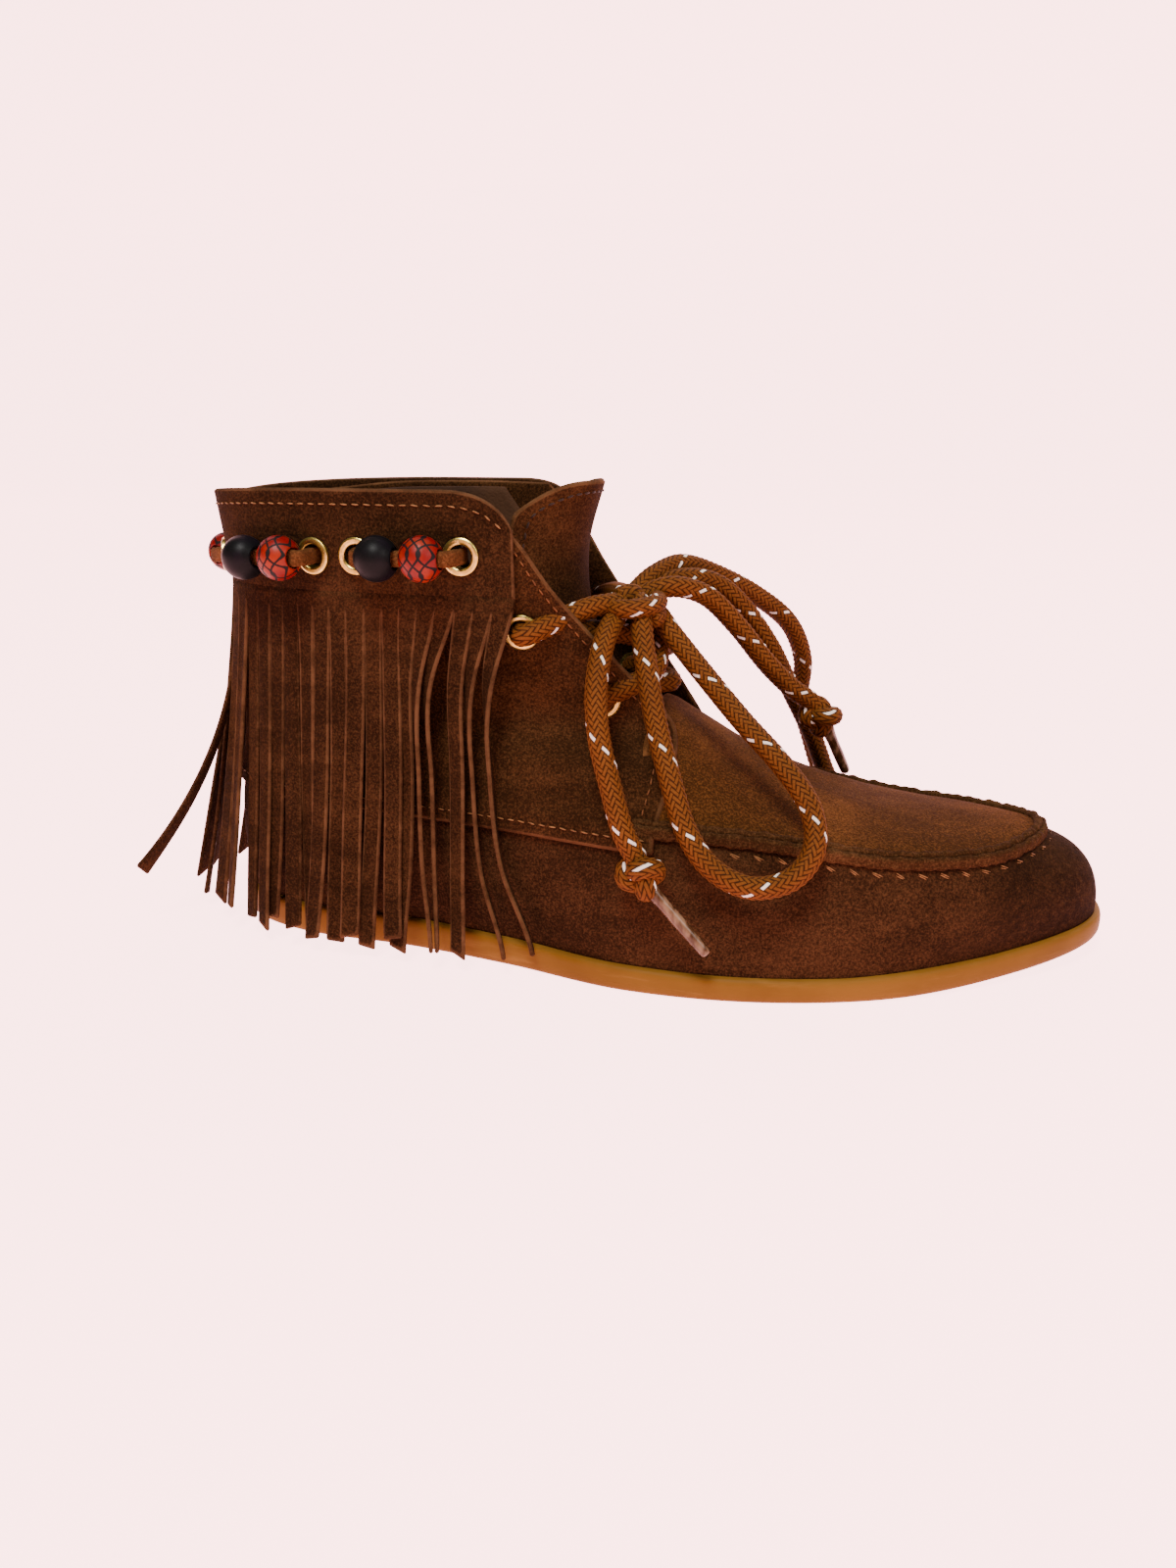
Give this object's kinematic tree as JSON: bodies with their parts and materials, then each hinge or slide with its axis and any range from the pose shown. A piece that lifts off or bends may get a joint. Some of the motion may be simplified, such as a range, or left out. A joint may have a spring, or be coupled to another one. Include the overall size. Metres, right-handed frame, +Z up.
{
  "type": "moccasin ankle boot",
  "caption": "Soft suede moccasin ankle boot with a raised apron seam, long hinged fringe collar, beads on a thong, a bow-tied braided lace and a thin flat rubber sole.",
  "frame": {"origin": "on the floor under the middle of the sole's length, on the flat underside of the outsole", "axes": "+X towards the toe, +Y towards the inner side of this right shoe, +Z up"},
  "size_m": [0.2838, 0.121, 0.1336],
  "materials": {
    "gum_rubber": "smooth gum rubber, satin",
    "insole_board": "fibre board",
    "footbed_leather": "smooth lining leather",
    "counter_board": "stiff fibre board",
    "suede_upper": "brushed suede",
    "suede_plug": "brushed suede, worn lighter",
    "lining_leather": "thin lining leather",
    "suede_fringe": "suede with raw cut edges",
    "eyelet_brass": "polished yellow brass",
    "thong_suede": "flat cut suede thong",
    "lace_braid": "round braided lace with pale flecks",
    "aglet_plastic": "clear brown film tube",
    "bead_red": "lacquered wood with crackle lines",
    "bead_black": "matt dyed wood"
  },
  "bodies": {
    "upper": {"outsole": "gum_rubber", "insole_board": "insole_board", "footbed": "footbed_leather", "heel_counter": "counter_board", "vamp_wall": "suede_upper", "toe_plug": "suede_plug", "quarter_lateral": "suede_upper", "quarter_medial": "suede_upper", "ankle_lining": "lining_leather", "fringe_collar": "suede_fringe", "eyelet_lateral_upper": "eyelet_brass", "eyelet_lateral_lower": "eyelet_brass", "eyelet_medial_upper": "eyelet_brass", "eyelet_medial_lower": "eyelet_brass", "collar_eyelets": "eyelet_brass", "bead_thong": "thong_suede", "lace_throat": "lace_braid", "bow_knot": "lace_braid", "bow_loop_lateral": "lace_braid", "bow_loop_medial": "lace_braid", "lace_tail_lateral": "lace_braid", "lace_tail_medial": "lace_braid", "stopper_knot_lateral": "lace_braid", "stopper_knot_medial": "lace_braid", "aglet_lateral": "aglet_plastic", "aglet_medial": "aglet_plastic"},
    "tongue": {"tongue": "suede_upper"},
    "fringe_01": {"fringe_01": "suede_fringe"},
    "fringe_02": {"fringe_02": "suede_fringe"},
    "fringe_03": {"fringe_03": "suede_fringe"},
    "fringe_04": {"fringe_04": "suede_fringe"},
    "fringe_05": {"fringe_05": "suede_fringe"},
    "fringe_06": {"fringe_06": "suede_fringe"},
    "fringe_07": {"fringe_07": "suede_fringe"},
    "fringe_08": {"fringe_08": "suede_fringe"},
    "fringe_09": {"fringe_09": "suede_fringe"},
    "fringe_10": {"fringe_10": "suede_fringe"},
    "fringe_11": {"fringe_11": "suede_fringe"},
    "fringe_12": {"fringe_12": "suede_fringe"},
    "bead_red_1": {"bead_red_1": "bead_red"},
    "bead_black_1": {"bead_black_1": "bead_black"},
    "bead_red_2": {"bead_red_2": "bead_red"},
    "bead_black_2": {"bead_black_2": "bead_black"},
    "bead_red_3": {"bead_red_3": "bead_red"},
    "bead_black_3": {"bead_black_3": "bead_black"},
    "bead_red_4": {"bead_red_4": "bead_red"},
    "bead_black_4": {"bead_black_4": "bead_black"},
    "bead_red_5": {"bead_red_5": "bead_red"},
    "bead_black_5": {"bead_black_5": "bead_black"}
  },
  "joints": [
    {"name": "tongue_flex", "type": "hinge", "parent": "upper", "child": "tongue", "pos_m": [0.014, 0, 0.0645], "axis": [0, -1, 0], "range_deg": [0, 10], "stiffness_Nm_per_rad": 0.3},
    {"name": "fringe_01_swing", "type": "hinge", "parent": "upper", "child": "fringe_01", "pos_m": [-0.04096, 0.03758, 0.1018], "axis": [0.9999, -0.0156, 0], "range_deg": [0, 35]},
    {"name": "fringe_02_swing", "type": "hinge", "parent": "upper", "child": "fringe_02", "pos_m": [-0.06071, 0.03756, 0.1018], "axis": [0.9996, 0.0293, 0], "range_deg": [0, 35]},
    {"name": "fringe_03_swing", "type": "hinge", "parent": "upper", "child": "fringe_03", "pos_m": [-0.07773, 0.0366, 0.1018], "axis": [0.9951, 0.0992, 0], "range_deg": [0, 35]},
    {"name": "fringe_04_swing", "type": "hinge", "parent": "upper", "child": "fringe_04", "pos_m": [-0.09824, 0.03277, 0.1018], "axis": [0.9545, 0.2981, 0], "range_deg": [0, 35]},
    {"name": "fringe_05_swing", "type": "hinge", "parent": "upper", "child": "fringe_05", "pos_m": [-0.11575, 0.02457, 0.1018], "axis": [0.7864, 0.6177, 0], "range_deg": [0, 35]},
    {"name": "fringe_06_swing", "type": "hinge", "parent": "upper", "child": "fringe_06", "pos_m": [-0.12514, 0.01121, 0.1018], "axis": [0.299, 0.9542, 0], "range_deg": [0, 35]},
    {"name": "fringe_07_swing", "type": "hinge", "parent": "upper", "child": "fringe_07", "pos_m": [-0.12582, -0.0087, 0.1018], "axis": [-0.299, 0.9542, 0], "range_deg": [0, 35]},
    {"name": "fringe_08_swing", "type": "hinge", "parent": "upper", "child": "fringe_08", "pos_m": [-0.11575, -0.02457, 0.1018], "axis": [-0.7864, 0.6177, 0], "range_deg": [0, 35]},
    {"name": "fringe_09_swing", "type": "hinge", "parent": "upper", "child": "fringe_09", "pos_m": [-0.10074, -0.032, 0.1018], "axis": [-0.9545, 0.2981, 0], "range_deg": [0, 35]},
    {"name": "fringe_10_swing", "type": "hinge", "parent": "upper", "child": "fringe_10", "pos_m": [-0.08034, -0.03636, 0.1018], "axis": [-0.9951, 0.0992, 0], "range_deg": [0, 35]},
    {"name": "fringe_11_swing", "type": "hinge", "parent": "upper", "child": "fringe_11", "pos_m": [-0.06071, -0.03756, 0.1018], "axis": [-0.9996, 0.0293, 0], "range_deg": [0, 35]},
    {"name": "fringe_12_swing", "type": "hinge", "parent": "upper", "child": "fringe_12", "pos_m": [-0.04361, -0.03762, 0.1018], "axis": [-0.9999, -0.0156, 0], "range_deg": [0, 35]},
    {"name": "bead_red_1_spin", "type": "hinge", "parent": "upper", "child": "bead_red_1", "pos_m": [-0.05355, -0.04585, 0.11358], "axis": [-0.9996, 0.0221, -0.0182], "continuous": true},
    {"name": "bead_black_1_spin", "type": "hinge", "parent": "upper", "child": "bead_black_1", "pos_m": [-0.066, -0.04557, 0.11335], "axis": [-0.9996, 0.0221, -0.0182], "continuous": true},
    {"name": "bead_red_2_spin", "type": "hinge", "parent": "upper", "child": "bead_red_2", "pos_m": [-0.09508, -0.04239, 0.11251], "axis": [-0.9593, 0.2796, -0.0396], "continuous": true},
    {"name": "bead_black_2_spin", "type": "hinge", "parent": "upper", "child": "bead_black_2", "pos_m": [-0.10738, -0.0388, 0.112], "axis": [-0.9593, 0.2796, -0.0396], "continuous": true},
    {"name": "bead_red_3_spin", "type": "hinge", "parent": "upper", "child": "bead_red_3", "pos_m": [-0.13637, 0.00305, 0.10886], "axis": [0.2171, 0.9727, 0.0816], "continuous": true},
    {"name": "bead_black_3_spin", "type": "hinge", "parent": "upper", "child": "bead_black_3", "pos_m": [-0.1336, 0.01545, 0.1099], "axis": [0.2171, 0.9727, 0.0816], "continuous": true},
    {"name": "bead_red_4_spin", "type": "hinge", "parent": "upper", "child": "bead_red_4", "pos_m": [-0.11271, 0.03658, 0.11174], "axis": [0.938, 0.344, 0.0434], "continuous": true},
    {"name": "bead_black_4_spin", "type": "hinge", "parent": "upper", "child": "bead_black_4", "pos_m": [-0.10104, 0.04086, 0.11228], "axis": [0.938, 0.344, 0.0434], "continuous": true},
    {"name": "bead_red_5_spin", "type": "hinge", "parent": "upper", "child": "bead_red_5", "pos_m": [-0.066, 0.04557, 0.11335], "axis": [0.9996, 0.0215, 0.0181], "continuous": true},
    {"name": "bead_black_5_spin", "type": "hinge", "parent": "upper", "child": "bead_black_5", "pos_m": [-0.0532, 0.04585, 0.11358], "axis": [0.9996, 0.0215, 0.0181], "continuous": true}
  ]
}
